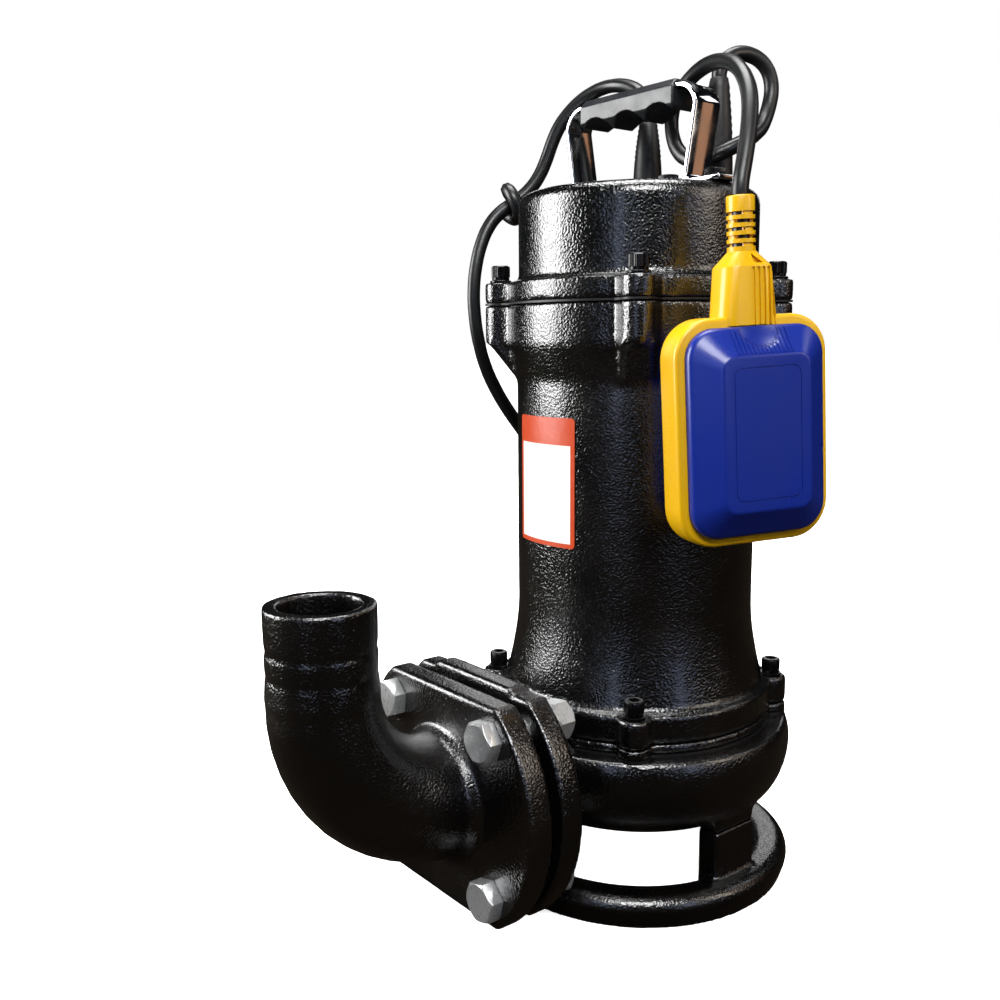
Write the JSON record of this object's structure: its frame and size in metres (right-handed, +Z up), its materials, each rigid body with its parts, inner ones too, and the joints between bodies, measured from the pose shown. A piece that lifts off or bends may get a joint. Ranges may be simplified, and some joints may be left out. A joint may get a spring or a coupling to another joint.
{
  "type": "submersible sump pump",
  "caption": "Upright submersible drainage pump on a ring stand, with a flanged elbow and hose tail, carrying handle, mains lead and a hanging float switch.",
  "frame": {"origin": "centre of the stand ring's underside, on the shaft's axis", "axes": "+Z up along the shaft, +X out of the discharge, +Y towards the float switch's side"},
  "size_m": [0.424, 0.3158, 0.4421],
  "materials": {
    "cast_enamel": "gloss black enamel over a sand casting, with a slight orange peel",
    "zinc_steel": "bright zinc plate, lightly scuffed",
    "black_steel": "black oxide, semi-matt",
    "polished_strap": "polished plate",
    "grip_moulding": "satin black moulding",
    "boot_rubber": "moulded rubber, matt",
    "cable_jacket": "smooth rubber jacket with a soft sheen",
    "tie_strap": "woven strap",
    "grey_iron": "bare casting",
    "bearing_steel": "ground steel",
    "seal_ceramic": "lapped ceramic",
    "seal_carbon": "carbon ring",
    "core_steel": "stacked sheet steel",
    "rotor_aluminium": "die cast",
    "copper_winding": "lacquered copper wire",
    "white_moulding": "pale moulding",
    "sticker_film": "coated paper with an orange border, blank",
    "float_yellow": "moulded polypropylene",
    "float_blue": "moulded polypropylene",
    "switch_moulding": "moulding"
  },
  "bodies": {
    "pump": {"base_stand": "cast_enamel", "stand_screws": "black_steel", "volute_casing": "cast_enamel", "casing_gasket": "boot_rubber", "seal_plate": "cast_enamel", "seal_seat": "seal_ceramic", "oil_seal": "boot_rubber", "oil_plug": "zinc_steel", "motor_housing": "cast_enamel", "stator_core": "core_steel", "stator_winding": "copper_winding", "thermal_protector": "white_moulding", "lower_bearing_outer": "bearing_steel", "upper_bearing_outer": "bearing_steel", "bearing_bracket": "grey_iron", "wave_spring": "bearing_steel", "top_cover": "cast_enamel", "cover_gasket": "boot_rubber", "run_capacitor": "white_moulding", "terminal_block": "white_moulding", "lower_screws": "black_steel", "upper_screws": "black_steel", "outlet_gasket": "boot_rubber", "discharge_elbow": "cast_enamel", "flange_bolts": "zinc_steel", "flange_nuts": "zinc_steel", "flange_washers": "zinc_steel", "handle_strap": "polished_strap", "handle_grip": "grip_moulding", "cover_screws": "black_steel", "lead_boot": "boot_rubber", "float_boot": "boot_rubber", "boot_plates": "black_steel", "boot_screws": "black_steel", "blank_sticker": "sticker_film", "mains_lead": "cable_jacket", "mains_lead_coil": "cable_jacket", "lead_hitch": "cable_jacket", "coil_tie": "tie_strap", "plug_body": "cable_jacket", "plug_pins": "zinc_steel", "float_cord": "cable_jacket"},
    "rotor": {"shaft": "bearing_steel", "impeller": "grey_iron", "impeller_nut": "zinc_steel", "impeller_key": "bearing_steel", "rotor_core": "core_steel", "rotor_rings": "rotor_aluminium", "seal_head": "seal_carbon", "seal_spring": "bearing_steel", "lower_bearing_inner": "bearing_steel", "upper_bearing_inner": "bearing_steel"},
    "lower_cage": {"lower_bearing_balls": "bearing_steel"},
    "upper_cage": {"upper_bearing_balls": "bearing_steel"},
    "float": {"float_rim": "float_yellow", "float_shells": "float_blue", "float_switch": "switch_moulding", "float_weight": "grey_iron"},
    "ball": {"float_ball": "bearing_steel"},
    "lever": {"float_lever": "bearing_steel"}
  },
  "joints": [
    {"name": "rotor_spin", "type": "hinge", "parent": "pump", "child": "rotor", "pos_m": [0, 0, 0.2], "axis": [0, 0, 1], "continuous": true},
    {"name": "lower_cage_spin", "type": "hinge", "parent": "pump", "child": "lower_cage", "pos_m": [0, 0, 0.144], "axis": [0, 0, 1], "continuous": true},
    {"name": "upper_cage_spin", "type": "hinge", "parent": "pump", "child": "upper_cage", "pos_m": [0, 0, 0.2955], "axis": [0, 0, 1], "continuous": true},
    {"name": "float_swing", "type": "hinge", "parent": "pump", "child": "float", "pos_m": [0.031, 0.093, 0.355], "axis": [0.9272, -0.3746, 0], "range_deg": [0, 110], "deforming": ["float_cord"]},
    {"name": "ball_roll", "type": "slide", "parent": "float", "child": "ball", "axis": [0.0485, -0.0196, 0.9986], "range_m": [0, 0.028]},
    {"name": "lever_press", "type": "hinge", "parent": "float", "child": "lever", "pos_m": [0.03786, 0.09023, 0.25918], "axis": [0.3746, 0.9272, 0], "range_deg": [0, 8.5]}
  ],
  "couplings": [
    {"joint": "lower_cage_spin", "follows": "rotor_spin", "ratio": 0.379},
    {"joint": "upper_cage_spin", "follows": "rotor_spin", "ratio": 0.38},
    {"joint": "lever_press", "follows": "ball_roll", "rad_per_m": 5}
  ]
}
